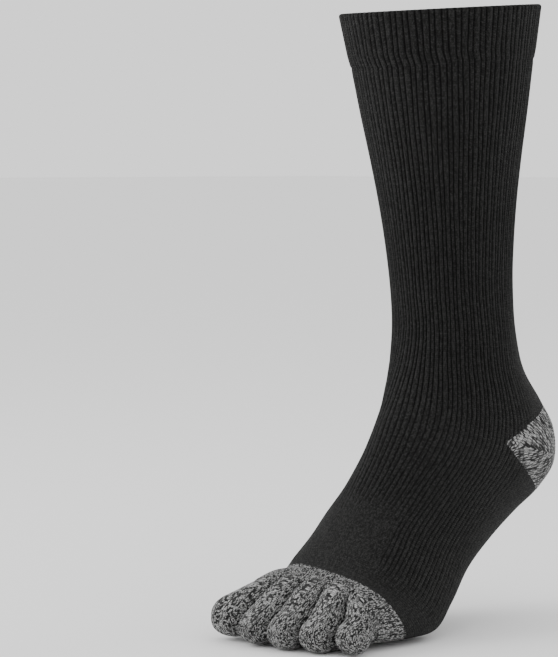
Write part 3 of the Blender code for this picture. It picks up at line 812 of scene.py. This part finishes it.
def bump(t, shader, height, strength, distance):
    """Joins a height to the shader's normal."""
    made = t.node("ShaderNodeBump")
    made.inputs["Strength"].default_value = strength
    made.inputs["Distance"].default_value = distance
    t.put(made.inputs["Height"], height)
    t.put(shader.inputs["Normal"], made.outputs[0])


def black_colour_group(stitches):
    """Black yarn: near black, lighter on single stitches and fibres, with painted shade in the rib grooves and
    between stitches, and painted light on stitch crowns and, in dashes, on the purl bumps in the grooves.
    """
    group, t, out = new_group("black_yarn_painted_shade", (("Colour", "NodeSocketColor"), ("Height", "NodeSocketFloat")))
    knit = t.node("ShaderNodeGroup", node_tree=stitches)
    crest = t.node("ShaderNodeAttribute", attribute_name="crest").outputs["Fac"]
    where = t.node("ShaderNodeTexCoord").outputs["Object"]
    # Painted shade: the rib grooves are darkened towards BLACK_DEEP, with painted light in a dash each course on the
    # purl bumps.
    painted_groove_dash_light = t.ramp(knit.outputs["Bar"], 0.0, 1.0, 0.02, 0.50)
    painted_groove_shade = t.math("MAXIMUM", t.ramp(crest, 0.25, 0.95, 0.0, 1.0), painted_groove_dash_light)
    # Painted shade between stitches and painted light on their crowns, from the stitch relief.
    painted_stitch_shading = t.ramp(knit.outputs["Relief"], 0.0, 0.8, 0.45, 1.20)
    single = t.ramp(knit.outputs["Leg"], 0.0, 1.0, 0.60, 1.40)
    grain = t.ramp(t.noise(where, 900.0, 2.0), 0.34, 0.66, 0.60, 1.40)
    fibre = t.math("MULTIPLY", grain, t.ramp(knit.outputs["Fibre"], 0.35, 0.75, 0.8, 1.4))
    patch = t.ramp(t.noise(where, 28.0, 2.0), 0.3, 0.7, 0.90, 1.10)
    share = t.math("MULTIPLY", t.math("MULTIPLY", painted_groove_shade, painted_stitch_shading), t.math("MULTIPLY", single, fibre))
    share = t.math("MULTIPLY", t.math("MULTIPLY", share, patch), 0.5, clamp=True)
    t.put(out.inputs["Colour"], t.mix(share, BLACK_DEEP, BLACK_LIGHT))
    height = t.math("MULTIPLY_ADD", knit.outputs["Fibre"], 0.35, knit.outputs["Relief"])
    t.put(out.inputs["Height"], height)
    return group


def marl_colour_group(stitches):
    """Marl yarn of black and white strands: each stitch leg is dark, light or between, in short runs, with painted
    shade in the valleys between stitches.
    """
    group, t, out = new_group("marl_yarn_painted_shade", (("Colour", "NodeSocketColor"), ("Height", "NodeSocketFloat")))
    knit = t.node("ShaderNodeGroup", node_tree=stitches)
    where = t.node("ShaderNodeTexCoord").outputs["Object"]
    run = t.ramp(knit.outputs["Run"], 0.32, 0.68)
    fine = t.noise(where, 1300.0, 1.0)
    value = t.math("MULTIPLY_ADD", knit.outputs["Leg"], 0.54, t.math("MULTIPLY", run, 0.10))
    value = t.math("MULTIPLY_ADD", fine, 0.36, value)
    light = t.ramp(value, 0.34, 0.78)
    # Painted shade: the valleys between stitches are darkened towards MARL_DARK.
    painted_stitch_shading = t.ramp(knit.outputs["Relief"], 0.0, 0.60, 0.10, 1.0)
    fibre = t.ramp(knit.outputs["Fibre"], 0.3, 0.7, 0.85, 1.15)
    share = t.math("MULTIPLY", t.math("MULTIPLY", light, painted_stitch_shading), fibre, clamp=True)
    t.put(out.inputs["Colour"], t.mix(share, MARL_DARK, MARL_LIGHT))
    height = t.math("MULTIPLY_ADD", knit.outputs["Fibre"], 0.4, knit.outputs["Relief"])
    t.put(out.inputs["Height"], height)
    return group


def make_materials():
    """One cloth material for each slot, from the groups of stitches and of yarn colours with painted shade."""
    stitches = stitch_group()
    black = black_colour_group(stitches)
    marl = marl_colour_group(stitches)

    def cloth(group, roughness, sheen, sheen_roughness, strength, distance):
        def build(t, shader):
            yarn = t.node("ShaderNodeGroup", node_tree=group)
            t.put(shader.inputs["Base Color"], yarn.outputs["Colour"])
            shader.inputs["Roughness"].default_value = roughness
            shader.inputs["Specular IOR Level"].default_value = 0.10
            shader.inputs["Sheen Weight"].default_value = sheen
            shader.inputs["Sheen Roughness"].default_value = sheen_roughness
            shader.inputs["Sheen Tint"].default_value = (1.0, 1.0, 1.0, 1.0)
            bump(t, shader, yarn.outputs["Height"], strength, distance)
        return build

    return {
        "black_rib_knit": knit_material("black_rib_knit_cloth", cloth(black, 0.85, 0.025, 0.45, 0.9, 0.0003)),
        "black_fine_knit": knit_material("black_fine_knit_cloth", cloth(black, 0.82, 0.025, 0.45, 0.9, 0.0003)),
        "grey_marl_knit": knit_material("grey_marl_knit_cloth", cloth(marl, 0.90, 0.06, 0.50, 0.7, 0.0003)),
    }


def dress(made, node, slot, materials):
    """Gives a piece the material of its slot and its body, and hides the part of the node that it stands for."""
    made.data.materials.append(materials[slot])
    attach(made, "root")
    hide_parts(node)


def make_camera():
    """The photograph's camera: level with the shin, turned to the outer side, aimed so that the rim's centre falls
    on its pixel."""
    place = np.array([np.sin(VIEW_TURN) * VIEW_DISTANCE, -np.cos(VIEW_TURN) * VIEW_DISTANCE, VIEW_LEVEL])
    aside = np.arctan2(RIM_PIXEL[0] - PICTURE_WIDTH / 2, FOCAL_PIXELS)
    turn = np.arctan2(-place[1], -place[0]) + aside
    rise = np.arctan2(-VIEW_LEVEL, VIEW_DISTANCE)
    rise -= np.arctan2((PICTURE_HEIGHT / 2 - RIM_PIXEL[1]) * np.cos(aside), FOCAL_PIXELS)
    ahead = np.array([np.cos(turn) * np.cos(rise), np.sin(turn) * np.cos(rise), np.sin(rise)])
    right = np.array([np.sin(turn), -np.cos(turn), 0.0])
    up = np.cross(right, ahead)
    data = bpy.data.cameras.new("photo_camera")
    data.sensor_width = SENSOR
    data.lens = FOCAL_PIXELS * SENSOR / max(PICTURE_WIDTH, PICTURE_HEIGHT)
    data.clip_start = 0.05
    camera = bpy.data.objects.new("photo_camera", data)
    axes = np.eye(4)
    axes[:3, 0], axes[:3, 1], axes[:3, 2], axes[:3, 3] = right, up, -ahead, place
    camera.matrix_world = Matrix(axes.tolist())
    bpy.context.scene.collection.objects.link(camera)
    bpy.context.scene.camera = camera


def make_light(name, place, size, power):
    """A soft square light aimed at the middle of the sock."""
    data = bpy.data.lights.new(name, "AREA")
    data.shape = "RECTANGLE"
    data.size, data.size_y = size
    data.energy = power
    light = bpy.data.objects.new(name, data)
    place = np.array(place, float)
    back = place - np.array([0.0, -0.02, -0.18])
    back /= np.linalg.norm(back)
    right = np.cross([0.0, 0.0, 1.0], back)
    right /= np.linalg.norm(right)
    axes = np.eye(4)
    axes[:3, 0], axes[:3, 1], axes[:3, 2], axes[:3, 3] = right, np.cross(back, right), back, place
    light.matrix_world = Matrix(axes.tolist())
    bpy.context.scene.collection.objects.link(light)


def make_studio():
    """A white surround, a pale floor under the toes and two soft lights, the brighter one on the instep's side."""
    world = bpy.data.worlds.new("studio")
    world.use_nodes = True
    world.node_tree.nodes["Background"].inputs["Color"].default_value = (1.0, 1.0, 1.0, 1.0)
    world.node_tree.nodes["Background"].inputs["Strength"].default_value = WORLD_STRENGTH
    bpy.context.scene.world = world
    half = FLOOR_HALF
    level = cad_box[0][2] - FLOOR_GAP
    corners = [(-half, -half, level), (half, -half, level), (half, half, level), (-half, half, level)]
    mesh = bpy.data.meshes.new("floor")
    mesh.from_pydata(corners, [], [(0, 1, 2, 3)])
    floor = bpy.data.objects.new("floor", mesh)
    bpy.context.scene.collection.objects.link(floor)
    material = bpy.data.materials.new("pale_floor")
    material.use_nodes = True
    shader = material.node_tree.nodes["Principled BSDF"]
    shader.inputs["Base Color"].default_value = (0.90, 0.90, 0.90, 1.0)
    shader.inputs["Roughness"].default_value = 0.9
    mesh.materials.append(material)
    make_light("key_light", (-0.9, -1.3, 0.55), (0.9, 1.2), KEY_POWER)
    make_light("rim_light", (0.5, 1.3, 0.55), (0.5, 1.0), RIM_POWER)


def main():
    loft = Loft()
    materials = make_materials()
    dress(make_cuff(loft), "cuff", "black_rib_knit", materials)
    dress(make_leg(loft), "leg", "black_rib_knit", materials)
    dress(make_foot(loft), "foot", "black_fine_knit", materials)
    dress(make_heel(loft), "heel", "grey_marl_knit", materials)
    dress(make_toe_band(loft), "toe_band", "grey_marl_knit", materials)
    for row in TOE_ROWS:
        dress(make_toe(loft, row), row[0], "grey_marl_knit", materials)
    make_camera()
    make_studio()


main()
